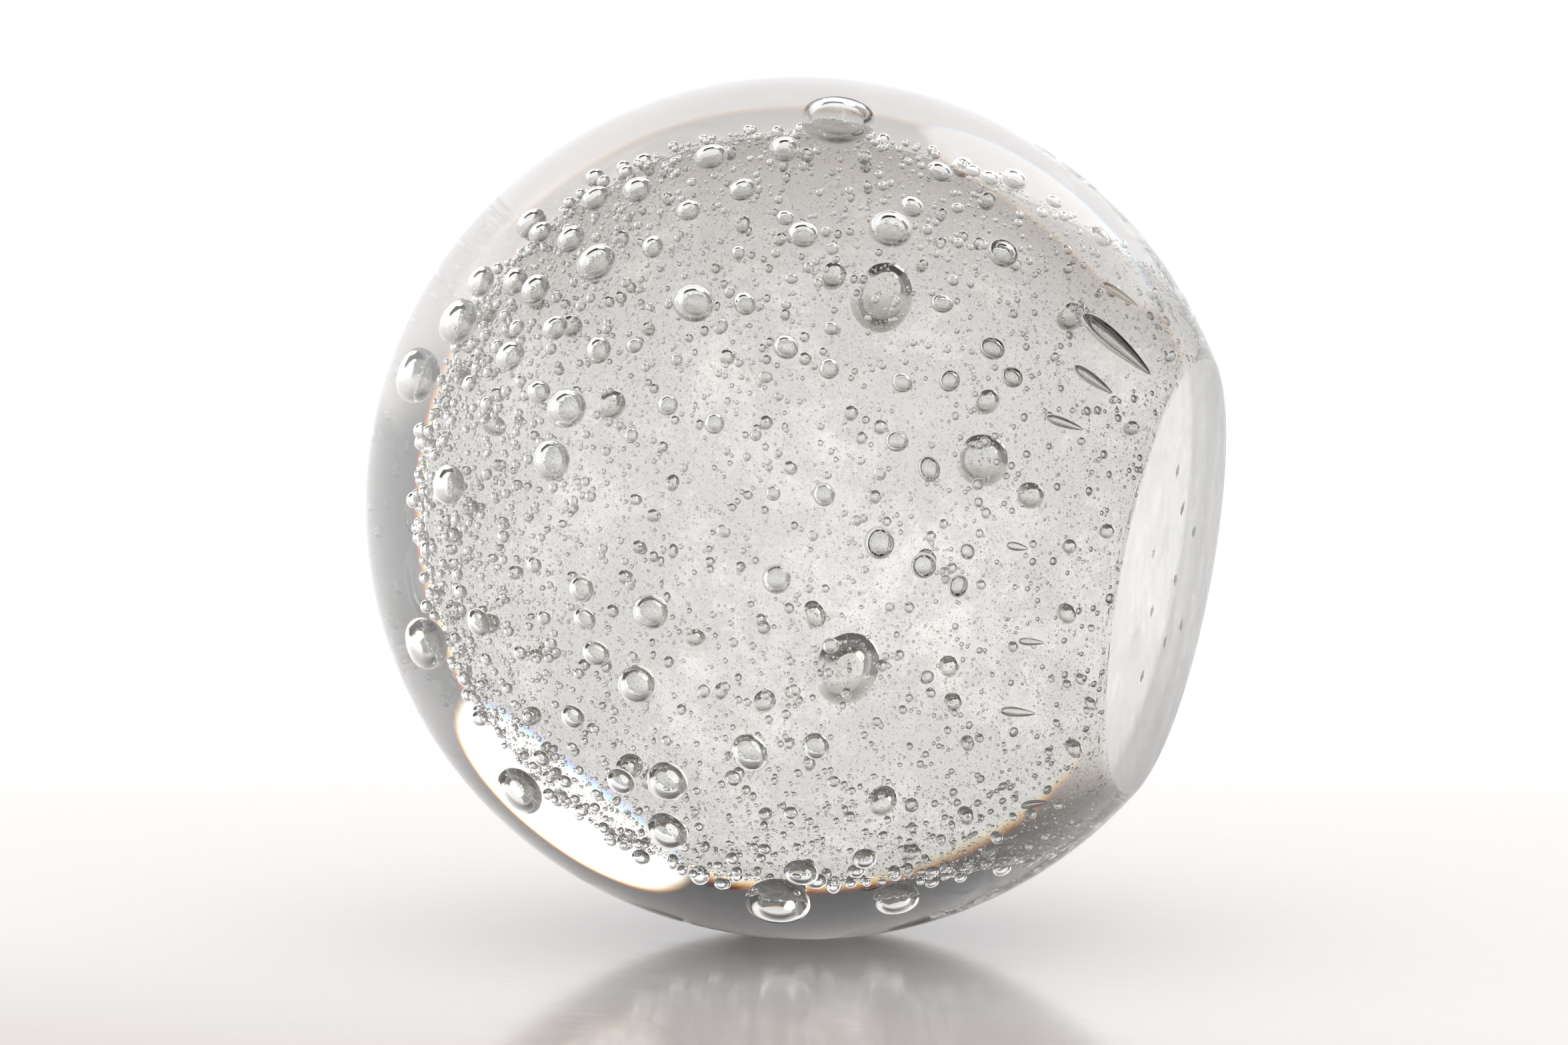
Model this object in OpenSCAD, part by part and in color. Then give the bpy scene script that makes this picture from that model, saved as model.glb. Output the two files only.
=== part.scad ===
// Bubble-glass paperweight: a near-spherical hand-gathered ball that stands on a ground flat base.
// The first gather is round above and drawn in a little to its ground neck. It is dusted so that a
// veil of fine seeds forms on it, and a second, clear gather is cased over it. Larger bubbles are
// trapped on the veil, under the clear casing.
// +Z is up. The origin is the centre of the ground base.

/* [Ball] */
// Largest diameter of the ball, across its middle
ball_d = 76; // [70:1:84]
// Height from the ground base to the top of the dome
height = 72; // [70:1:74]
// Diameter of the ground flat base
base_d = 38.8; // [36:0.2:42]
// Height of the plain band between the dome and the shoulder
band_h = 0.8; // [0.4:0.1:1.5]
// Width of the fine bevel round the ground base
bevel = 0.25; // [0.1:0.05:0.5]

/* [First gather] */
// Diameter of the veil of seeds, across the round part of the first gather
veil_d = 43.5; // [40:0.5:46]
// Thickness of the veil of seeds
veil_t = 0.3; // [0.2:0.05:0.6]
// Diameter of the gather's neck where the base is ground through it
neck_d = 37.4; // [30:0.2:37.6]

/* [Bubbles] */
// Glass between a trapped bubble and the veil that it rests on
bubble_gap = 0.12; // [0.08:0.02:0.2]
// Number of places for small bubbles, spread evenly round the veil
small_count = 180; // [60:10:200]
// Smallest diameter of a small bubble
small_d_min = 0.6; // [0.5:0.1:0.9]
// Largest diameter of a small bubble
small_d_max = 1.3; // [1.0:0.1:1.6]
// Number of long bubbles drawn out along the neck
drawn_count = 16; // [8:1:20]
// Seed of the scattered bubbles, so that the ball is always the same one
scatter_seed = 7; // [1:1:40]

/* [Ground base] */
// Number of bubbles that the grinding has opened into pits
pit_count = 9; // [4:1:12]
// Radius of the sphere that hollows a pit
pit_r = 0.6; // [0.5:0.1:1.0]

/* [Hidden] */
$fn = 96;

ball_r = ball_d / 2;
base_r = base_d / 2;
mid_z = height - ball_r;                // the dome's centre
shoulder_z = mid_z - band_h;            // the shoulder arc's centre
// The shoulder arc leaves the band squarely and ends on the rim of the base.
shoulder_x = (ball_r^2 - base_r^2 - shoulder_z^2) / (2 * (ball_r - base_r));
shoulder_r = ball_r - shoulder_x;
veil_r = veil_d / 2;
core_r = veil_r - veil_t;
neck_r = neck_d / 2;
core_neck_r = neck_r - veil_t;
golden_turn = 137.508;                  // degrees between neighbours on an even spiral
show_side = -45;                        // degrees from +X to the side that is meant to be seen
pit_spread = 3.5;                       // distance of the first pit from the axis
tail_share = 0.35;                      // thickness of a drawn bubble's tail, as a share of its head

// Where the bubbles that stand out rest on the veil: degrees round the axis from the show side,
// degrees above the ball's middle, and diameter. Each is placed by hand. The last row of LARGE lies
// on the far side.
LARGE = [
    [92, 5, 4.6], [46, 35, 2.8], [34, 12, 3.0], [11, 32, 3.0], [0, 33, 3.0],
    [61, -16, 3.1], [67, -34, 2.4], [-4, -32, 2.4], [64, 70, 3.2], [140, 78, 3.0],
    [-15, 62, 2.8], [-24, 8, 2.8], [-39, 10, 3.0], [-60, 5, 3.2], [-76, 7, 3.0],
    [-50, -11, 2.9], [-101, -6, 4.2], [-112, -21, 2.8], [-99, 36, 3.0], [-90, 60, 3.4],
    [155, 8, 2.9], [171, -6, 2.4], [-164, 5, 3.2],
];
MEDIUM = [
    [54, -2, 2.2], [80, 10, 2.3], [78, 22, 2.1], [65, 13, 1.8], [59, 21, 1.7],
    [70, 33, 2.1], [76, 42, 1.8], [60, 44, 2.0], [92, 55, 2.0], [78, 53, 1.6],
    [46, 49, 2.2], [57, 56, 1.9], [31, 41, 1.9], [26, 51, 2.2], [15, 41, 1.8],
    [24, 29, 2.0], [29, -7, 1.9], [14, 12, 1.6], [12, 2, 1.6], [36, 3, 1.8],
    [49, 25, 1.7], [72, -16, 1.7], [48, -30, 1.6], [27, -16, 1.6], [41, -40, 1.9],
    [36, -44, 1.7], [31, -36, 1.7], [28, -29, 1.6], [12, -37, 1.9], [16, -31, 1.7],
    [3, -21, 1.7], [98, -39, 1.8], [108, -20, 1.6], [90, -14, 1.7], [-14, -15, 2.2],
    [-24, 23, 2.0], [-30, 22, 1.7], [-36, 19, 2.0], [-48, -23, 2.1], [-54, 24, 1.8],
    [-66, 15, 2.0], [-48, 48, 1.9], [-7, -39, 2.0], [-10, -44, 1.7], [-85, -25, 1.7],
    [-90, -13, 2.2], [90, 66, 1.9],
];
// The bubbles that are drawn out furthest along the neck: as above, then the length, and how many
// degrees each leans away from the straight way down the neck
LONG = [
    [55, -54, 2.6, 9.0, -15], [43, -53, 1.4, 4.4, -12],
    [-38, -52, 1.1, 3.2, -6], [-69, -52, 1.1, 2.6, -6],
];

// ---- outlines, drawn as half sections to be turned round the axis ----

// Slope of the neck's side: the angle at which its straight line leaves a round of radius r.
function neck_slope(r, foot) = let (reach = norm([foot, mid_z]))
    atan2(mid_z, foot) - acos(r / reach);

module gather_round(r, foot) {
    slope = neck_slope(r, foot);
    rotate_extrude() {
        intersection() {
            translate([0, mid_z]) circle(r);
            square([r * 2, mid_z + r * 2]);
        }
        polygon([[0, 0], [foot, 0], [r * cos(slope), mid_z - r * sin(slope)], [0, mid_z]]);
    }
}

module ball_outline() {
    rim_a = asin((shoulder_z - bevel) / shoulder_r);
    intersection() {
        translate([0, mid_z]) circle(ball_r);
        translate([0, mid_z]) square([ball_r * 2, ball_r * 2]);
    }
    translate([0, shoulder_z]) square([ball_r, band_h]);
    intersection() {
        translate([shoulder_x, shoulder_z]) circle(shoulder_r);
        translate([0, bevel]) square([ball_r, shoulder_z - bevel]);
    }
    polygon([[0, 0], [base_r - bevel, 0], [shoulder_x + shoulder_r * cos(rim_a), bevel], [0, bevel]]);
}

// ---- places on the veil ----

veil_slope = neck_slope(veil_r, neck_r);
function away(lon, lat) = [cos(lat) * cos(lon + show_side), cos(lat) * sin(lon + show_side), sin(lat)];
function on_neck(lat) = lat < -veil_slope;
function veil_reach(lat) = on_neck(lat) ? veil_r / cos(lat + veil_slope) : veil_r;
function square_out(lon, lat) = away(lon, on_neck(lat) ? -veil_slope : lat);
function seat(b) = [0, 0, mid_z] + away(b[0], b[1]) * veil_reach(b[1])
    + square_out(b[0], b[1]) * (b[2] / 2 + bubble_gap);

PLACED = concat(LARGE, MEDIUM, LONG);
function clear_of(b, others, room) =
    min([for (o = others) norm(seat(b) - seat(o)) - (b[2] + o[2]) / 2]) > room;

small_scatter = rands(-1, 1, 3 * small_count, scatter_seed);
small_top = 78;                         // degrees: the scatter stays off the very top
small_low = sin(-44);                   // and off the neck, where bubbles are drawn out
small_room = 0.35;                      // least glass between a small bubble and a placed one
drawn_room = 3;                         // the same for a drawn bubble, which is longer than it is wide
SMALL = [for (i = [0:small_count - 1])
    let (lift = small_low + (sin(small_top) - small_low) * (i + 0.5) / small_count,
        b = [i * golden_turn + 5 * small_scatter[3 * i],
            asin(lift) + 2 * small_scatter[3 * i + 1],
            small_d_min + (small_d_max - small_d_min) * pow(abs(small_scatter[3 * i + 2]), 1.5)])
    if (clear_of(b, PLACED, small_room)) b];

drawn_scatter = rands(0, 1, 3 * drawn_count, scatter_seed + 1);
DRAWN = [for (i = [0:drawn_count - 1])
    let (b = [i * 360 / drawn_count + 9 * drawn_scatter[3 * i],
            -48 - 9 * drawn_scatter[3 * i + 1],
            0.7 + 0.6 * drawn_scatter[3 * i + 2], 1.9 + 2 * drawn_scatter[3 * i], 0])
    if (clear_of(b, PLACED, drawn_room)) b];

module round_bubble(b) translate(seat(b)) sphere(d = b[2]);

// A bubble drawn out along the neck: a drop of diameter b[2] and length b[3], thin end to the base,
// leaning by b[4].
module drawn_bubble(b) {
    head_r = b[2] / 2;
    tail_r = head_r * tail_share;
    head_z = b[3] / 2 - head_r;
    tail_z = tail_r - b[3] / 2;
    lean = asin((head_r - tail_r) / (head_z - tail_z));
    translate(seat(b)) rotate([0, 0, b[0] + show_side]) rotate([0, veil_slope, 0]) rotate([b[4], 0, 0])
        rotate_extrude() {
            half_round(head_r, head_z);
            half_round(tail_r, tail_z);
            polygon([[0, tail_z], [0, head_z],
                [head_r * cos(lean), head_z - head_r * sin(lean)],
                [tail_r * cos(lean), tail_z - tail_r * sin(lean)]]);
        }
}

module half_round(r, z) intersection() {
    translate([0, z]) circle(r);
    translate([0, z - r]) square([r, r * 2]);
}

module large() for (b = LARGE) round_bubble(b);
module medium() for (b = MEDIUM) round_bubble(b);
module small() for (b = SMALL) round_bubble(b);
module drawn() {
    for (b = concat(LONG, DRAWN)) drawn_bubble(b);
}

// ---- sub-parts ----

module outer_casing() color("azure", 0.35) difference() {
    rotate_extrude() ball_outline();
    gather_round(veil_r, neck_r);
    large();
    medium();
    small();
    drawn();
}

module seed_veil() color("whitesmoke", 0.6) difference() {
    gather_round(veil_r, neck_r);
    gather_round(core_r, core_neck_r);
}

module inner_core() color("lightgray", 0.5) difference() {
    gather_round(core_r, core_neck_r);
    for (i = [1:pit_count])
        rotate([0, 0, i * golden_turn])
            translate([pit_spread * sqrt(i), 0, -pit_r * 0.6]) sphere(pit_r);
}

module large_bubbles() color("honeydew", 0.4) large();
module medium_bubbles() color("honeydew", 0.4) medium();
module small_bubbles() color("honeydew", 0.4) small();
module drawn_bubbles() color("darkseagreen", 0.4) drawn();

outer_casing();
seed_veil();
inner_core();
large_bubbles();
medium_bubbles();
small_bubbles();
drawn_bubbles();
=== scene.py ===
"""Bubble-glass paperweight: the looks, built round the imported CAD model."""

import math

import bmesh
import bpy
import numpy as np
from mathutils import Matrix, Vector, noise


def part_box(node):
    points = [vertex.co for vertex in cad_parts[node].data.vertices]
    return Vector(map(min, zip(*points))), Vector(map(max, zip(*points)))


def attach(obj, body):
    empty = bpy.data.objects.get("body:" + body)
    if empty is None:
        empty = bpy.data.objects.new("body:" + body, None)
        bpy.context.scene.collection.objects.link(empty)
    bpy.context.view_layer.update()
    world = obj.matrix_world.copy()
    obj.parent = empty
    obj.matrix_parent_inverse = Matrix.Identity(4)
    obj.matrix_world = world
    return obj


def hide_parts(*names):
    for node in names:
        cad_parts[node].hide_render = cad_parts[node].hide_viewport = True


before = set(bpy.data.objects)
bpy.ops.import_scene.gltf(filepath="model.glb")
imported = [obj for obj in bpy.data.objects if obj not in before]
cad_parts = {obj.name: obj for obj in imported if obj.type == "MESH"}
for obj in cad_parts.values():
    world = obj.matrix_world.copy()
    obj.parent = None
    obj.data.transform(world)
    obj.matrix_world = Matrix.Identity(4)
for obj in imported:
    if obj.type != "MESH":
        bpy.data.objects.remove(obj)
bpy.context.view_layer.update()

MM = 0.001

# ---- sizes that the frame gives, in metres ----

case_lo, case_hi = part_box("outer_casing")
_, veil_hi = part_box("seed_veil")
BALL_R = (case_hi.x - case_lo.x) / 2
MIDDLE = Vector((0, 0, case_hi.z - BALL_R))     # the dome's centre
VEIL_R = veil_hi.z - MIDDLE.z


def radius_at_base(node):
    """Radius of a CAD node's outline in the plane of the ground base."""
    points = [v.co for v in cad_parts[node].data.vertices]
    return max(p.xy.length for p in points if p.z < case_lo.z + 1e-6)


FLAT_R = radius_at_base("outer_casing")
NECK_R = radius_at_base("seed_veil")

# ---- the shoulder, as in the CAD ----

BAND_H = 0.8 * MM
BEVEL = 0.25 * MM
SHOULDER_Z = MIDDLE.z - BAND_H
RIM_R = FLAT_R + BEVEL
SHOULDER_X = (BALL_R**2 - RIM_R**2 - SHOULDER_Z**2) / (2 * (BALL_R - RIM_R))
SHOULDER_R = BALL_R - SHOULDER_X
# The neck's straight side leaves the round of the veil at this angle below the middle.
NECK_SLOPE = math.atan2(MIDDLE.z, NECK_R) - math.acos(VEIL_R / math.hypot(NECK_R, MIDDLE.z))

# ---- how the ball lies before the camera ----

SHOW_SIDE = math.radians(-45)       # from +X, round the axis
BASE_TURN = math.radians(15.8)      # the base is turned this far towards the camera
ROLL = math.radians(10.7)           # and points this far below the picture's right
EYE_RAISE = math.radians(5)         # the camera looks down on the table by this much
EYE_DISTANCE = 0.48
LENS = 124.7
AIM_RIGHT, AIM_UP = -1.1 * MM, -1.4 * MM

UP_Z = Vector((0, 0, 1))
side = Vector((math.cos(SHOW_SIDE), math.sin(SHOW_SIDE), 0))
TO_EYE = side * math.cos(BASE_TURN) - UP_Z * math.sin(BASE_TURN)
base_way = -UP_Z * math.cos(BASE_TURN) - side * math.sin(BASE_TURN)
cross_way = UP_Z.cross(side)
RIGHT = base_way * math.cos(ROLL) + cross_way * math.sin(ROLL)
UP = -base_way * math.sin(ROLL) + cross_way * math.cos(ROLL)
TABLE_UP = UP * math.cos(EYE_RAISE) + TO_EYE * math.sin(EYE_RAISE)

GLASS_IOR = 1.52
rng = np.random.default_rng(11)


# ---- meshes ----

def mesh_object(name, verts, faces):
    """A smooth-shaded mesh object of triangles, from arrays."""
    mesh = bpy.data.meshes.new(name)
    verts = np.asarray(verts, np.float32)
    faces = np.asarray(faces, np.int32)
    mesh.vertices.add(len(verts))
    mesh.vertices.foreach_set("co", verts.ravel())
    mesh.loops.add(faces.size)
    mesh.loops.foreach_set("vertex_index", faces.ravel())
    mesh.polygons.add(len(faces))
    mesh.polygons.foreach_set("loop_start", np.arange(0, faces.size, faces.shape[1], dtype=np.int32))
    mesh.update(calc_edges=True)
    mesh.validate()
    mesh.shade_smooth()
    obj = bpy.data.objects.new(name, mesh)
    bpy.context.scene.collection.objects.link(obj)
    return obj


def ico(subdivisions):
    """Vertices and triangles of a sphere of radius 1."""
    bm = bmesh.new()
    bmesh.ops.create_icosphere(bm, subdivisions=subdivisions, radius=1)
    verts = np.array([v.co for v in bm.verts])
    faces = np.array([[v.index for v in f.verts] for f in bm.faces])
    bm.free()
    return verts, faces


def merged(shapes):
    """One vertex array and one triangle array from many."""
    verts, faces, count = [], [], 0
    for v, f in shapes:
        verts.append(v)
        faces.append(f + count)
        count += len(v)
    return np.concatenate(verts), np.concatenate(faces)


def turned(profile, steps):
    """The vertices and triangles of an outline (radius, z), axis to axis, turned round Z."""
    ring = np.arange(steps) * 2 * math.pi / steps
    inner = np.array(profile[1:-1])
    verts = np.stack([
        np.outer(inner[:, 0], np.cos(ring)),
        np.outer(inner[:, 0], np.sin(ring)),
        np.repeat(inner[:, 1:2], steps, 1),
    ], -1).reshape(-1, 3)
    verts = np.concatenate([verts, [[0, 0, profile[0][1]], [0, 0, profile[-1][1]]]])
    low, high = len(verts) - 2, len(verts) - 1
    faces = []
    for i in range(len(inner) - 1):
        for j in range(steps):
            a, b = i * steps + j, i * steps + (j + 1) % steps
            faces += [[a, b, b + steps], [a, b + steps, a + steps]]
    last = (len(inner) - 1) * steps
    for j in range(steps):
        faces.append([low, (j + 1) % steps, j])
        faces.append([high, last + j, last + (j + 1) % steps])
    return verts, np.array(faces)


def arc(x, z, r, start, end, count):
    """Points of an arc, without its first."""
    turn = [start + (end - start) * i / count for i in range(1, count + 1)]
    return [(x + r * math.cos(t), z + r * math.sin(t)) for t in turn]


# ---- materials ----

def new_material(name):
    material = bpy.data.materials.new(name)
    material.use_nodes = True
    return material, material.node_tree, material.node_tree.nodes["Principled BSDF"]


def glass(name, tint):
    """Clear glass: a closed glass surface faces out of the glass, so a bubble's faces into its air."""
    material, _, shader = new_material(name)
    shader.inputs["Base Color"].default_value = (*tint, 1)
    shader.inputs["Roughness"].default_value = 0
    shader.inputs["IOR"].default_value = GLASS_IOR
    shader.inputs["Transmission Weight"].default_value = 1
    return material


def finish_piece(obj, material, node):
    """Gives a piece its material, hides the CAD node that it stands for, and puts it under the root
    body.
    """
    obj.data.materials.append(material)
    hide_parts(node)
    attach(obj, "root")


# ---- shader helpers ----

def feed(nt, node, values):
    """Gives a node its inputs, in order: each is another node's socket, a number or a vector."""
    for socket, value in zip(node.inputs, values):
        if isinstance(value, bpy.types.NodeSocket):
            nt.links.new(value, socket)
        else:
            socket.default_value = value


def vector_math(nt, operation, *values):
    node = nt.nodes.new("ShaderNodeVectorMath")
    node.operation = operation
    feed(nt, node, values)
    return node.outputs["Value" if operation == "DOT_PRODUCT" else "Vector"]


def scaled(nt, vector, factor):
    """A vector or a colour, times a number that a socket gives."""
    node = nt.nodes.new("ShaderNodeVectorMath")
    node.operation = "SCALE"
    node.inputs[0].default_value = vector
    nt.links.new(factor, node.inputs["Scale"])
    return node.outputs[0]


def maths(nt, operation, *values):
    node = nt.nodes.new("ShaderNodeMath")
    node.operation = operation
    feed(nt, node, values)
    return node.outputs[0]


def mixed_shader(nt, share, first, second):
    """The first shader where share is 0, the second where it is 1."""
    mix = nt.nodes.new("ShaderNodeMixShader")
    feed(nt, mix, (share, first.outputs[0], second.outputs[0]))
    return mix


def ramp(nt, value, low, high, to_low=0.0, to_high=1.0):
    """Smooth change from to_low to to_high as value goes from low to high."""
    node = nt.nodes.new("ShaderNodeMapRange")
    node.interpolation_type = "SMOOTHSTEP"
    nt.links.new(value, node.inputs["Value"])
    for name, number in zip(("From Min", "From Max", "To Min", "To Max"), (low, high, to_low, to_high)):
        node.inputs[name].default_value = number
    return node.outputs[0]


# ---- the ball ----

FLAT_RINGS, SHOULDER_RINGS, DOME_RINGS, BALL_STEPS = 60, 70, 100, 256
CASING_TINT = (0.995, 1.0, 0.998)
SWELL_SCALE, SWELL_DEPTH = 70, 0.05 * MM        # the casing's slow unevenness
GRIND_TINT = (0.985, 0.99, 0.985)
GRIND_STREAKS = (60, 700, 200)                  # how the wheel's marks are stretched
GRIND_TURN = math.radians(35)
GRIND_MOTTLE = 320                              # scale of the mottle
STREAK_SHARE = 0.35                             # of the two patterns, the rest is mottle
GRIND_DEPTH = 0.012 * MM
GRIND_ROUGHNESS = (0.1, 0.26)
GRIND_CLEAR = 0.72                              # the rest of the ground face's light is scattered white
SHARP_TURN = math.radians(25)                   # edges sharper than this stay sharp


def ball_profile():
    """The ball's outline, from the middle of the base to the top of the dome."""
    flat = [(FLAT_R * i / FLAT_RINGS, 0.0) for i in range(1, FLAT_RINGS)] + [(FLAT_R, 0.0)]
    rim_turn = -math.asin((SHOULDER_Z - BEVEL) / SHOULDER_R)
    rim = (SHOULDER_X + SHOULDER_R * math.cos(rim_turn), BEVEL)
    shoulder = arc(SHOULDER_X, SHOULDER_Z, SHOULDER_R, rim_turn, 0, SHOULDER_RINGS)
    dome = arc(0, MIDDLE.z, BALL_R, 0, math.pi / 2, DOME_RINGS)
    return [(0, 0.0), *flat, rim, *shoulder, (BALL_R, MIDDLE.z), *dome]


def object_coords(nt, scale=(1, 1, 1), turn=(0, 0, 0)):
    """Object coordinates, turned and then stretched for a pattern."""
    node = nt.nodes.new("ShaderNodeMapping")
    node.inputs["Scale"].default_value = scale
    node.inputs["Rotation"].default_value = turn
    nt.links.new(nt.nodes.new("ShaderNodeTexCoord").outputs["Object"], node.inputs["Vector"])
    return node.outputs[0]


def noise_pattern(nt, coords, scale, detail=2.0, rough=0.5):
    node = nt.nodes.new("ShaderNodeTexNoise")
    node.inputs["Scale"].default_value = scale
    node.inputs["Detail"].default_value = detail
    node.inputs["Roughness"].default_value = rough
    nt.links.new(coords, node.inputs["Vector"])
    return node.outputs["Fac"]


def bump(nt, height, distance):
    node = nt.nodes.new("ShaderNodeBump")
    node.inputs["Strength"].default_value = 1
    node.inputs["Distance"].default_value = distance
    nt.links.new(height, node.inputs["Height"])
    return node.outputs[0]


def fire_polished_glass():
    """The casing's round: a slow unevenness left by the tools under a bright fire polish."""
    material = glass("clear_glass", CASING_TINT)
    nt = material.node_tree
    swell = noise_pattern(nt, object_coords(nt), SWELL_SCALE, 1.0)
    nt.links.new(bump(nt, swell, SWELL_DEPTH), nt.nodes["Principled BSDF"].inputs["Normal"])
    return material


def ground_glass():
    """The base: ground flat and smoothed, with faint streaks and a mottle left by the wheel."""
    material = glass("ground_glass", GRIND_TINT)
    nt = material.node_tree
    shader = nt.nodes["Principled BSDF"]
    shader.inputs["Transmission Weight"].default_value = GRIND_CLEAR
    streaks = noise_pattern(nt, object_coords(nt, GRIND_STREAKS, (0, 0, GRIND_TURN)), 1.0, 3.0)
    mottle = noise_pattern(nt, object_coords(nt), GRIND_MOTTLE, 5.0, 0.7)
    finish = maths(nt, "ADD", maths(nt, "MULTIPLY", streaks, STREAK_SHARE),
                   maths(nt, "MULTIPLY", mottle, 1 - STREAK_SHARE))
    nt.links.new(ramp(nt, finish, 0.35, 0.65, *GRIND_ROUGHNESS), shader.inputs["Roughness"])
    nt.links.new(bump(nt, finish, GRIND_DEPTH), shader.inputs["Normal"])
    return material


PIT_R = 0.6 * MM            # the pits of the base, as in the CAD
PIT_SINK = 0.6              # the middle of a pit's sphere lies this many radii below the base
PIT_SPREAD = 3.5 * MM
PIT_COUNT = 9
GOLDEN_TURN = math.radians(137.508)


def pitted(verts):
    """Sinks the ground-open bubbles into the flat of the base."""
    flat = verts[:, 2] == 0
    for i in range(1, PIT_COUNT + 1):
        turn = i * GOLDEN_TURN
        centre = PIT_SPREAD * math.sqrt(i) * np.array([math.cos(turn), math.sin(turn)])
        gap = np.linalg.norm(verts[:, :2] - centre, axis=1)
        depth = np.sqrt(np.maximum(PIT_R**2 - gap**2, 0)) - PIT_SINK * PIT_R
        verts[:, 2] = np.where(flat, np.maximum(verts[:, 2], depth), verts[:, 2])
    return verts


def make_ball():
    """The casing's outer surface: fire-polished glass, and ground glass on the flat of the base."""
    verts, faces = turned(ball_profile(), BALL_STEPS)
    obj = mesh_object("ball_glass", pitted(verts), faces)
    obj.data.set_sharp_from_angle(angle=SHARP_TURN)
    finish_piece(obj, fire_polished_glass(), "outer_casing")
    obj.data.materials.append(ground_glass())
    for face in obj.data.polygons:
        if face.center.xy.length < FLAT_R and face.center.z < PIT_R:
            face.material_index = 1


CORE_INSET = 0.2 * MM       # the core's visible skin lies this far under the veil
CORE_FLOOR = 0.35 * MM      # and this far above the base
CORE_TINT = (0.842, 0.831, 0.817)
CARPET_SHADE = 0.13         # how much light a seed's rim takes away
COARSE_CARPET, FINE_CARPET = 3300, 6100     # scales of its two patterns
FINE_SHARE = 0.7            # strength of the finer one beside the other
CARPET_DRIFT = 110          # scale of the changes in how dense it is
CARPET_DENSITY = (0.35, 0.95)
RING_RISE, RING_FALL = (0.10, 0.2), (0.24, 0.36)    # the inner and outer edge of a seed's rim
CLOUD_SCALE = 120
CLOUD_EDGE = (0.5, 0.62)
CLOUD_WHITE = (0.98, 0.98, 0.975, 1)
CLOUD_LIFT = 0.2            # how much lighter the core is in its white clouds
CLOUD_THIN, CLOUD_THICK = 0.08, 0.06        # milkiness everywhere, and what a cloud adds to it


def seed_rings(nt, coords, scale, density, seed):
    """Tiny rings on a surface, 0 away from them and up to 1 on them: a carpet of the finest seeds."""
    node = nt.nodes.new("ShaderNodeTexVoronoi")
    node.inputs["Scale"].default_value = scale
    shift = vector_math(nt, "ADD", coords, (seed, 0, 0))
    nt.links.new(shift, node.inputs["Vector"])
    rise = ramp(nt, node.outputs["Distance"], *RING_RISE)
    fall = ramp(nt, node.outputs["Distance"], *RING_FALL, 1.0, 0.0)
    split = nt.nodes.new("ShaderNodeSeparateColor")
    nt.links.new(node.outputs["Color"], split.inputs[0])
    there = maths(nt, "LESS_THAN", split.outputs[0], density)
    return maths(nt, "MULTIPLY", maths(nt, "MULTIPLY", rise, fall), there)


def milky_glass():
    """The first gather: a carpet of seeds too fine to model, and soft white clouds of finer ones."""
    material, nt, shader = new_material("core_glass")
    nt.nodes.remove(shader)
    coords = object_coords(nt)
    drift = noise_pattern(nt, coords, CARPET_DRIFT, 3.0)
    clouds = ramp(nt, noise_pattern(nt, coords, CLOUD_SCALE, 9.0, 0.78), *CLOUD_EDGE)
    density = ramp(nt, drift, 0.35, 0.65, *CARPET_DENSITY)
    carpet = maths(nt, "MAXIMUM", seed_rings(nt, coords, COARSE_CARPET, density, 0.0),
                   maths(nt, "MULTIPLY", seed_rings(nt, coords, FINE_CARPET, density, 0.3), FINE_SHARE))
    level = maths(nt, "SUBTRACT", maths(nt, "ADD", maths(nt, "MULTIPLY", clouds, CLOUD_LIFT), 1.0),
                  maths(nt, "MULTIPLY", carpet, CARPET_SHADE))
    clear = nt.nodes.new("ShaderNodeBsdfTransparent")
    nt.links.new(scaled(nt, CORE_TINT, level), clear.inputs["Color"])
    white = nt.nodes.new("ShaderNodeBsdfTranslucent")
    white.inputs["Color"].default_value = CLOUD_WHITE
    milk = maths(nt, "ADD", CLOUD_THIN, maths(nt, "MULTIPLY", clouds, CLOUD_THICK))
    mix = mixed_shader(nt, milk, clear, white)
    nt.links.new(mix.outputs[0], nt.nodes["Material Output"].inputs["Surface"])
    return material


FLOOR_RINGS, NECK_RINGS, ROUND_RINGS, CORE_STEPS = 8, 12, 40, 96


def make_core():
    """The first gather's skin, just under the veil and just over the base, so that no faces meet."""
    round_r = VEIL_R - CORE_INSET
    neck_r = NECK_R - CORE_INSET
    profile = [(0, CORE_FLOOR)]
    profile += [(neck_r * i / FLOOR_RINGS, CORE_FLOOR) for i in range(1, FLOOR_RINGS + 1)]
    join = (round_r * math.cos(-NECK_SLOPE), MIDDLE.z + round_r * math.sin(-NECK_SLOPE))
    profile += [(neck_r + (join[0] - neck_r) * i / NECK_RINGS,
                 CORE_FLOOR + (join[1] - CORE_FLOOR) * i / NECK_RINGS)
                for i in range(1, NECK_RINGS + 1)]
    profile += arc(0, MIDDLE.z, round_r, -NECK_SLOPE, math.pi / 2, ROUND_RINGS)
    obj = mesh_object("core_gather", *turned(profile, CORE_STEPS))
    finish_piece(obj, milky_glass(), "inner_core")


# ---- bubbles ----

BUBBLE_STRETCH = (1.0, 1.1)         # longer one way along the veil than the other
BUBBLE_SQUASH = (0.86, 0.96)        # and flattened against it
BUMP_COUNT, BUMP_WAVES, BUMP_HEIGHT = 3, 3, 0.006   # its soft unevenness, in radii
DROP_WIDTH, DROP_TAPER = 0.72, 0.28     # a drawn bubble's middle, and how its ends differ from it
AIR_TINT = (0.98, 0.993, 0.984)


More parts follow.
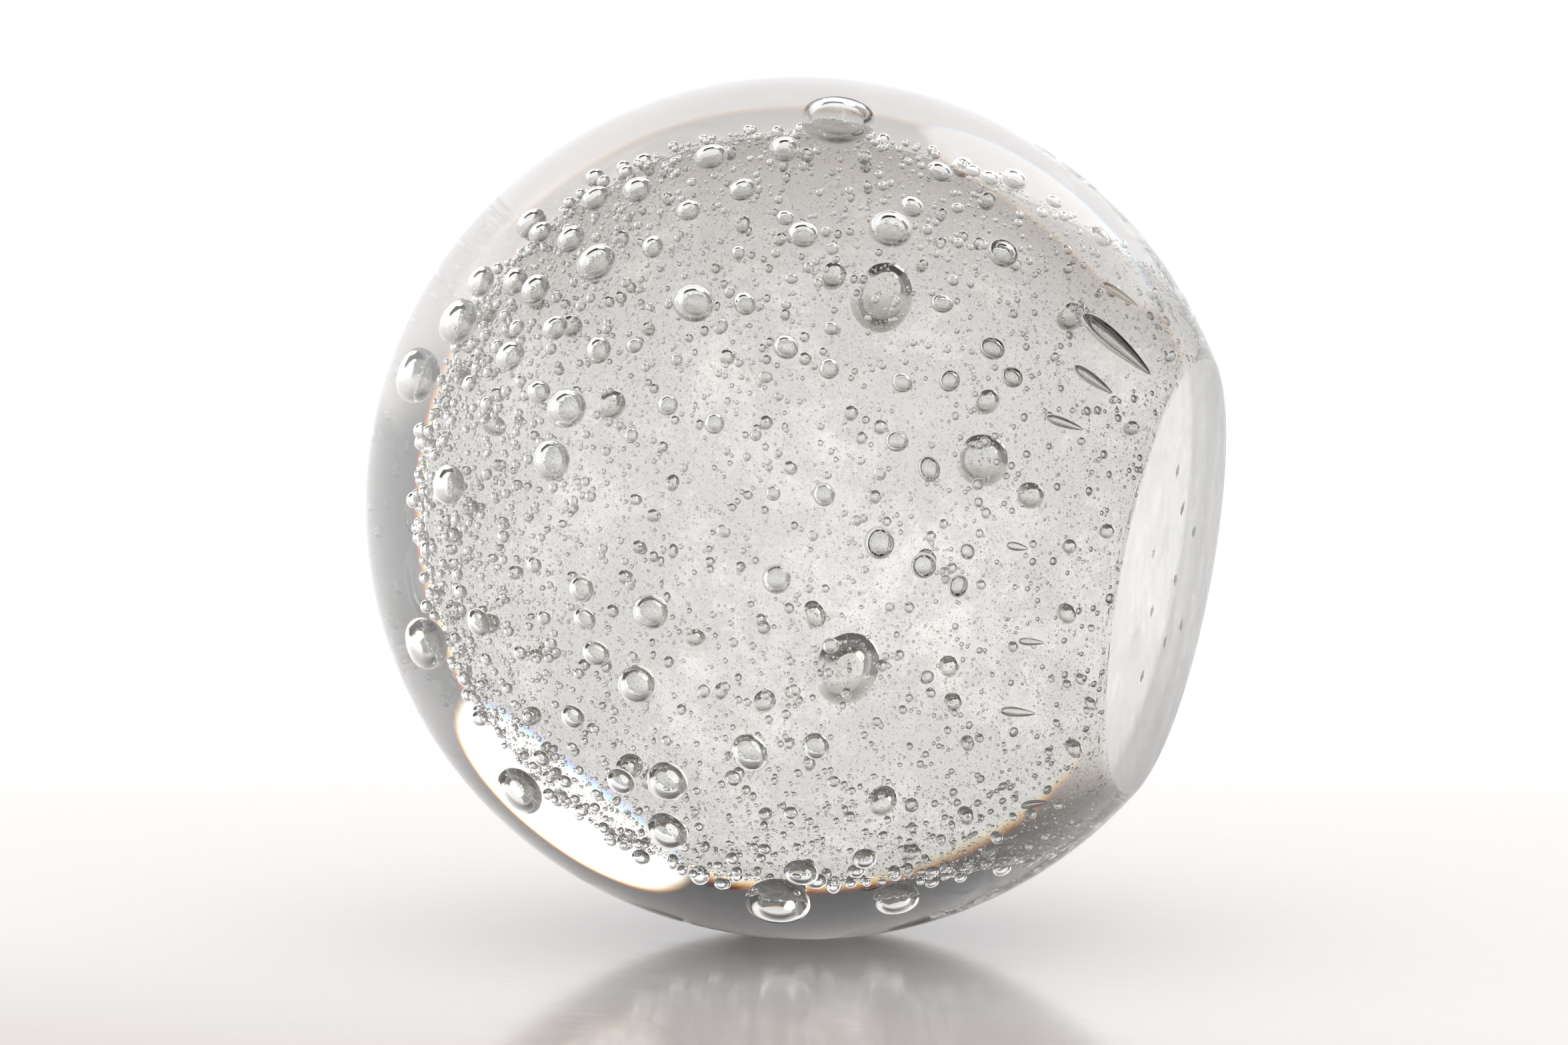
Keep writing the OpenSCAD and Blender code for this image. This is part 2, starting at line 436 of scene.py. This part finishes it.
def islands(node):
    """The points of each separate solid of a CAD node."""
    bm = bmesh.new()
    bm.from_mesh(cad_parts[node].data)
    bmesh.ops.remove_doubles(bm, verts=bm.verts, dist=1e-6)
    bm.verts.ensure_lookup_table()
    seen, groups = set(), []
    for start in bm.verts:
        if start.index in seen:
            continue
        seen.add(start.index)
        stack, found = [start], []
        while stack:
            vert = stack.pop()
            found.append(tuple(vert.co))
            for edge in vert.link_edges:
                other = edge.other_vert(vert)
                if other.index not in seen:
                    seen.add(other.index)
                    stack.append(other)
        groups.append(np.array(found))
    bm.free()
    groups.sort(key=lambda g: tuple(np.round(g.mean(0), 6)))
    return groups


def outward(point):
    """The veil's outward direction beside a point."""
    rel = Vector(point) - MIDDLE
    flat = rel.xy.length
    if math.atan2(rel.z, flat) < -NECK_SLOPE:
        return Vector((rel.x / flat * math.cos(NECK_SLOPE), rel.y / flat * math.cos(NECK_SLOPE),
                       -math.sin(NECK_SLOPE)))
    return rel.normalized()


def axes_at(point, turn):
    """Two directions along the veil and one out of it, as the rows of an array."""
    out = outward(point)
    along = out.cross(UP_Z) if abs(out.z) < 0.99 else out.cross(Vector((1, 0, 0)))
    along.normalize()
    along = Matrix.Rotation(turn, 3, out) @ along
    return np.array([along, out.cross(along), out])


def round_bubble(points, sphere):
    """A trapped bubble: nearly round, a little flattened against the veil, with soft unevenness."""
    centre = (points.min(0) + points.max(0)) / 2
    radius = (points.max(0) - points.min(0)).mean() / 2
    unit, faces = sphere
    stretch = rng.uniform(*BUBBLE_STRETCH)
    shape = unit * np.array([stretch, 1 / stretch, rng.uniform(*BUBBLE_SQUASH)])
    bumps = np.zeros(len(unit))
    for _ in range(BUMP_COUNT):
        way = rng.normal(size=3)
        wave = BUMP_WAVES * unit @ way / np.linalg.norm(way) + rng.uniform(0, 6)
        bumps += BUMP_HEIGHT * np.sin(wave)
    shape *= (1 + bumps)[:, None]
    rows = axes_at(centre, rng.uniform(0, math.pi))
    return centre + radius * shape @ rows, faces[:, ::-1]


def drawn_bubble(points, sphere):
    """A bubble drawn out along the neck, thin end to the base."""
    centre = points.mean(0)
    _, _, ways = np.linalg.svd(points - centre, full_matrices=False)
    spread = (points - centre) @ ways.T
    reach = (spread.max(0) - spread.min(0)) / 2
    centre = centre + ((spread.max(0) + spread.min(0)) / 2) @ ways
    if ways[0][2] < 0:
        ways[0] = -ways[0]
    ways[2] = np.cross(ways[0], ways[1])
    unit, faces = sphere
    slim = DROP_WIDTH + DROP_TAPER * unit[:, 0]
    wide = reach[1] * slim
    shape = np.stack([unit[:, 0] * reach[0], unit[:, 1] * wide, unit[:, 2] * wide], 1)
    return centre + shape @ ways, faces[:, ::-1]


FACES_PER_PIECE = 190000    # the most faces in one mesh piece; the export thins out a piece of more than 200000

# Each CAD node of bubbles: the fineness of its spheres, and what shapes them.
BUBBLE_NODES = (
    ("large_bubbles", 5, round_bubble),
    ("medium_bubbles", 5, round_bubble),
    ("small_bubbles", 4, round_bubble),
    ("drawn_bubbles", 5, drawn_bubble),
)


def bubble_group(node, fineness, shape_of, material):
    """Makes the bubbles of a CAD node, and returns the middle and half length of each."""
    sphere = ico(fineness)
    groups = islands(node)
    per_piece = FACES_PER_PIECE // len(sphere[1])
    for i in range(0, len(groups), per_piece):
        shapes = [shape_of(g, sphere) for g in groups[i:i + per_piece]]
        obj = mesh_object(f"{node}_air_{i // per_piece + 1}", *merged(shapes))
        finish_piece(obj, material, node)
    return [((g.min(0) + g.max(0)) / 2, (g.max(0) - g.min(0)).max() / 2) for g in groups]


# ---- the veil of seeds ----

def veil_places(count):
    """Even places on the veil, dome and neck, with the outward direction of each."""
    round_area = 2 * math.pi * VEIL_R**2 * (1 + math.sin(NECK_SLOPE))
    join_r, join_z = VEIL_R * math.cos(NECK_SLOPE), MIDDLE.z - VEIL_R * math.sin(NECK_SLOPE)
    neck_len = math.hypot(join_r - NECK_R, join_z)
    neck_area = math.pi * (join_r + NECK_R) * neck_len
    on_neck = rng.uniform(size=count) < neck_area / (round_area + neck_area)
    lon = rng.uniform(0, 2 * math.pi, count)
    height = rng.uniform(-math.sin(NECK_SLOPE), 1, count)
    down = (join_r - np.sqrt(join_r**2 - rng.uniform(size=count) * (join_r**2 - NECK_R**2))) \
        / (join_r - NECK_R)
    flat = np.where(on_neck, join_r + (NECK_R - join_r) * down, VEIL_R * np.sqrt(1 - height**2))
    z = np.where(on_neck, join_z * (1 - down), MIDDLE.z + VEIL_R * height)
    out_flat = np.where(on_neck, math.cos(NECK_SLOPE), np.sqrt(1 - height**2))
    out_z = np.where(on_neck, -math.sin(NECK_SLOPE), height)
    way = np.stack([np.cos(lon), np.sin(lon)], 1)
    places = np.column_stack([way * flat[:, None], z])
    outs = np.column_stack([way * out_flat[:, None], out_z])
    return places, outs


def clumps(points, scale, seed):
    """Soft patches from 0 to 1."""
    return np.array([0.5 + 0.5 * noise.fractal(Vector(p) * scale + Vector((seed, 0, 0)), 1.0, 2.0, 3)
                     for p in points])


FAR_SHARE = 0.6             # share of the seeds that is kept on the side away from the show side
SEED_ROOM = 0.02 * MM       # glass between a seed and a larger bubble
SEED_PATCHES = 140          # scale of the patches that the seeds lie in
SEED_SCATTER = 0.04         # mm, how unevenly they lie in the thickness of the veil
SEED_SKEW = 1.4             # the lower, the more of them are near their least size
SEED_SQUASH = 0.85          # the flattest that one is
SEED_FLOOR = 0.1 * MM       # glass between a seed and the base
SEED_AIR_TINT = (0.99, 1.0, 0.995)

# Each size of seed: its name, places tried, radius in mm (least, spread, most), how far it lies
# out of the veil in radii, the fineness of its sphere, and the share of the places that it fills:
# anywhere, more in a patch, and more towards the top of the dome.
SEED_SIZES = (
    ("fine", 60000, (0.03, 0.014, 0.075), 0.0, 1, (0.35, 0.9, 0.0)),
    ("middling", 13000, (0.07, 0.03, 0.15), 0.6, 2, (0.15, 0.4, 0.65)),
    ("round", 6500, (0.15, 0.07, 0.5), 1.0, 3, (0.15, 0.4, 0.65)),
)


def make_seeds(name, count, radii, proud, fineness, shares, bubbles, material):
    """Seeds of one size, all over the veil."""
    least, spread, most = radii
    anywhere, patchy, topmost = shares
    places, outs = veil_places(count)
    radius = np.minimum(least + spread * rng.gamma(SEED_SKEW, 1.0, count), most) * MM
    patches = clumps(places, SEED_PATCHES, fineness)
    domed = np.clip((places[:, 2] - MIDDLE.z) / VEIL_R, 0, 1)
    share = anywhere + patchy * patches + topmost * domed
    share *= np.where(outs @ np.array(TO_EYE) < 0, FAR_SHARE, 1.0)
    keep = rng.uniform(size=count) < share
    places = places + outs * (radius * proud + rng.normal(0, SEED_SCATTER, count) * MM)[:, None]
    keep &= places[:, 2] > radius + SEED_FLOOR
    for centre, size in bubbles:
        keep &= np.linalg.norm(places - centre, axis=1) > size + radius + SEED_ROOM
    p, r = places[keep], radius[keep]
    unit, faces = ico(fineness)
    squash = rng.uniform(SEED_SQUASH, 1.0, (len(p), 1, 3))
    verts = p[:, None, :] + unit[None] * r[:, None, None] * squash
    tris = faces[None, :, ::-1] + (np.arange(len(p)) * len(unit))[:, None, None]
    per_piece = FACES_PER_PIECE // len(faces)
    for i in range(0, len(p), per_piece):
        part = slice(i, i + per_piece)
        obj = mesh_object(f"veil_seeds_{name}_{i // per_piece + 1}", verts[part].reshape(-1, 3),
                          (tris[part] - i * len(unit)).reshape(-1, 3))
        finish_piece(obj, material, "seed_veil")


# ---- table, backdrop and light ----

TABLE_FADE = (60 * MM, 150 * MM)     # the table runs out into the backdrop between these
TABLE_EDGE = (110 * MM, 160 * MM)    # and at its other sides between these
TABLE_HALF = 0.3
TABLE_GAP = 0.02 * MM                # between the ball and the table
# The second colour is the table darkened by painted shade.
TABLE_WHITE, TABLE_SHADED = (0.93, 0.885, 0.87, 1), (0.64, 0.555, 0.54, 1)
TABLE_SHADE_FALLOFF = (15 * MM, 90 * MM)     # it goes from white to a darker, warmer tone between these, towards the near left: painted shade where the light falls off
SCRATCH_STRETCH, SCRATCH_TURN = (900, 900, 60), (0.3, 0.2, 0.9)
SCRATCH_ROUGHNESS, SCRATCH_DEPTH = (0.08, 0.16), 0.004 * MM


def stage_plane(name, middle, normal, across):
    """A square that faces along its normal."""
    along = normal.cross(across)
    corners = [middle + across * x * TABLE_HALF + along * y * TABLE_HALF
               for x, y in ((-1, -1), (1, -1), (1, 1), (-1, 1))]
    mesh = bpy.data.meshes.new(name)
    mesh.from_pydata([tuple(c) for c in corners], [], [(0, 1, 2, 3)])
    obj = bpy.data.objects.new(name, mesh)
    bpy.context.scene.collection.objects.link(obj)
    mesh.update()
    if mesh.polygons[0].normal.dot(normal) < 0:
        mesh.flip_normals()
    return obj


def shown_where(nt, shader, gone):
    """Lets a surface vanish where gone is 1."""
    mix = mixed_shader(nt, gone, shader, nt.nodes.new("ShaderNodeBsdfTransparent"))
    nt.links.new(mix.outputs[0], nt.nodes["Material Output"].inputs["Surface"])


def make_table():
    """The pale table under the ball as it lies, seen from above, which runs out into the backdrop."""
    contact = MIDDLE - TABLE_UP * (BALL_R + TABLE_GAP)
    obj = stage_plane("table", contact, TABLE_UP, RIGHT)
    material, nt, shader = new_material("table")
    geometry = nt.nodes.new("ShaderNodeNewGeometry")
    away = vector_math(nt, "SUBTRACT", geometry.outputs["Position"], tuple(contact))
    behind = vector_math(nt, "DOT_PRODUCT", away, tuple(-TO_EYE))
    # The tabletop darkens and warms towards the near left, painted shade where the light falls off, and
    # is finely scratched.
    near_left = vector_math(nt, "DOT_PRODUCT", away, tuple(TO_EYE * 0.9 - RIGHT * 0.35))
    near = ramp(nt, near_left, *TABLE_SHADE_FALLOFF)
    tone = nt.nodes.new("ShaderNodeMix")
    tone.data_type = "RGBA"
    nt.links.new(near, tone.inputs["Factor"])
    tone.inputs[6].default_value = TABLE_WHITE
    tone.inputs[7].default_value = TABLE_SHADED
    nt.links.new(tone.outputs[2], shader.inputs["Base Color"])
    scratches = noise_pattern(nt, object_coords(nt, SCRATCH_STRETCH, SCRATCH_TURN), 1.0, 4.0, 0.7)
    nt.links.new(ramp(nt, scratches, 0.35, 0.7, *SCRATCH_ROUGHNESS), shader.inputs["Roughness"])
    nt.links.new(bump(nt, scratches, SCRATCH_DEPTH), shader.inputs["Normal"])
    beside = maths(nt, "ABSOLUTE", vector_math(nt, "DOT_PRODUCT", away, tuple(RIGHT)))
    gone = maths(nt, "MAXIMUM", ramp(nt, behind, *TABLE_FADE), geometry.outputs["Backfacing"])
    for reach in (beside, maths(nt, "MULTIPLY", behind, -1.0)):
        gone = maths(nt, "MAXIMUM", gone, ramp(nt, reach, *TABLE_EDGE))
    shown_where(nt, shader, gone)
    obj.data.materials.append(material)


BACKDROP_LIGHT = 1.15       # what the glass sees of the backdrop
BACKDROP_SEEN = 1.02        # and what the eye sees of it
BACKDROP_EDGE = (math.cos(math.radians(51)), math.cos(math.radians(46)))
FILL_LIGHT = 0.95           # what falls on matt surfaces, such as the table
ROOM_LIGHT = 0.33           # where none of the next four reaches
# Each of these: the cosines that it fades in between, then how bright it is. The first two count
# from the right, the others from their own direction. A later one covers an earlier one.
LEFT_LIGHT = (-0.35, -0.6, 1.15)    # a large window
RIGHT_LIGHT = (0.5, 0.8, 0.3)
FRONT_LIGHT = (0.3, 0.6, 0.8)       # behind the camera
CEILING_LIGHT = (0.44, 0.66, 0.02)
BOX_LIGHT = 1.7             # a softbox, off the line of sight towards the upper right
BOX_CORNER = 2.6            # from 2, a round softbox, up to a square one
BOX_OFF = math.radians(53)  # from straight ahead
BOX_TURN = math.radians(52) # from the right, towards up
BOX_WIDE, BOX_DEEP = math.tan(math.radians(17)), math.tan(math.radians(15))
BOX_EDGE = (0.7, 1.1)
DISPERSION = 0.027          # each colour sees the studio shifted, in place of the glass's own dispersion
BOUNCES = 28


def studio_light(nt, way):
    """How bright the studio is in a direction."""
    across = vector_math(nt, "DOT_PRODUCT", way, tuple(RIGHT))
    onward = vector_math(nt, "DOT_PRODUCT", way, tuple(-TO_EYE))
    backdrop = ramp(nt, onward, *BACKDROP_EDGE, 0.0, BACKDROP_LIGHT)
    light = ROOM_LIGHT
    for reach, (low, high, level) in (
        (across, LEFT_LIGHT),
        (across, RIGHT_LIGHT),
        (vector_math(nt, "DOT_PRODUCT", way, tuple(TO_EYE)), FRONT_LIGHT),
        (vector_math(nt, "DOT_PRODUCT", way, tuple(UP)), CEILING_LIGHT),
    ):
        light = blended(nt, ramp(nt, reach, low, high), light, level)
    out = RIGHT * math.cos(BOX_TURN) + UP * math.sin(BOX_TURN)
    middle = -TO_EYE * math.cos(BOX_OFF) + out * math.sin(BOX_OFF)
    deep = -TO_EYE * -math.sin(BOX_OFF) + out * math.cos(BOX_OFF)
    ahead = vector_math(nt, "DOT_PRODUCT", way, tuple(middle))
    off = None
    for direction, reach in ((middle.cross(deep), BOX_WIDE), (deep, BOX_DEEP)):
        step = maths(nt, "DIVIDE", vector_math(nt, "DOT_PRODUCT", way, tuple(direction)), ahead)
        share = maths(nt, "POWER", maths(nt, "ABSOLUTE", maths(nt, "DIVIDE", step, reach)), BOX_CORNER)
        off = share if off is None else maths(nt, "ADD", off, share)
    inside = ramp(nt, off, *BOX_EDGE, 1.0, 0.0)
    box = maths(nt, "MULTIPLY", maths(nt, "GREATER_THAN", ahead, 0.0), inside)
    light = maths(nt, "ADD", light, maths(nt, "MULTIPLY", box, BOX_LIGHT))
    return maths(nt, "MAXIMUM", light, backdrop)


def blended(nt, share, first, second):
    """first where share is 0, second where it is 1."""
    step = maths(nt, "MULTIPLY", share, maths(nt, "SUBTRACT", second, first))
    return maths(nt, "ADD", step, first)


def make_world():
    """White to the eye, an even fill to the table, and a studio of light and dark to the glass."""
    world = bpy.data.worlds.new("studio")
    bpy.context.scene.world = world
    world.use_nodes = True
    world.cycles.sampling_method = "NONE"
    nt = world.node_tree
    nt.nodes.clear()
    coords = nt.nodes.new("ShaderNodeTexCoord").outputs["Generated"]
    along = vector_math(nt, "DOT_PRODUCT", coords, tuple(-TO_EYE))
    colour = nt.nodes.new("ShaderNodeCombineColor")
    for channel, bend in enumerate((DISPERSION, 0.0, -DISPERSION)):
        shift = scaled(nt, tuple(-TO_EYE * bend), along)
        way = vector_math(nt, "NORMALIZE", vector_math(nt, "ADD", coords, shift))
        nt.links.new(studio_light(nt, way), colour.inputs[channel])
    path = nt.nodes.new("ShaderNodeLightPath")
    seen = nt.nodes.new("ShaderNodeBackground")
    nt.links.new(colour.outputs[0], seen.inputs["Color"])
    for asked, level in (("Is Diffuse Ray", FILL_LIGHT), ("Is Camera Ray", BACKDROP_SEEN)):
        even = nt.nodes.new("ShaderNodeBackground")
        even.inputs["Color"].default_value = (1, 1, 1, 1)
        even.inputs["Strength"].default_value = level
        seen = mixed_shader(nt, path.outputs[asked], seen, even)
    nt.links.new(seen.outputs[0], nt.nodes.new("ShaderNodeOutputWorld").inputs["Surface"])


def make_camera():
    """Looks at the ball from the show side, with the base turned a little towards the camera."""
    data = bpy.data.cameras.new("camera")
    data.lens = LENS
    data.clip_start, data.clip_end = 0.01, 20
    cam = bpy.data.objects.new("camera", data)
    bpy.context.scene.collection.objects.link(cam)
    aim = MIDDLE + RIGHT * AIM_RIGHT + UP * AIM_UP
    turn = Matrix((RIGHT, UP, TO_EYE)).transposed().to_4x4()
    cam.matrix_world = Matrix.Translation(aim + TO_EYE * EYE_DISTANCE) @ turn
    bpy.context.scene.camera = cam


def set_light_paths():
    scene = bpy.context.scene
    scene.view_settings.view_transform = "Standard"
    scene.cycles.max_bounces = BOUNCES
    scene.cycles.transmission_bounces = BOUNCES
    scene.cycles.glossy_bounces = 8
    scene.cycles.transparent_max_bounces = 16


make_camera()
set_light_paths()
make_ball()
make_core()
air = glass("trapped_air", AIR_TINT)
held = []
for node, fineness, shape_of in BUBBLE_NODES:
    held += bubble_group(node, fineness, shape_of, air)
seed_air = glass("seed_air", SEED_AIR_TINT)
for size in SEED_SIZES:
    make_seeds(*size, held, seed_air)
make_table()
make_world()
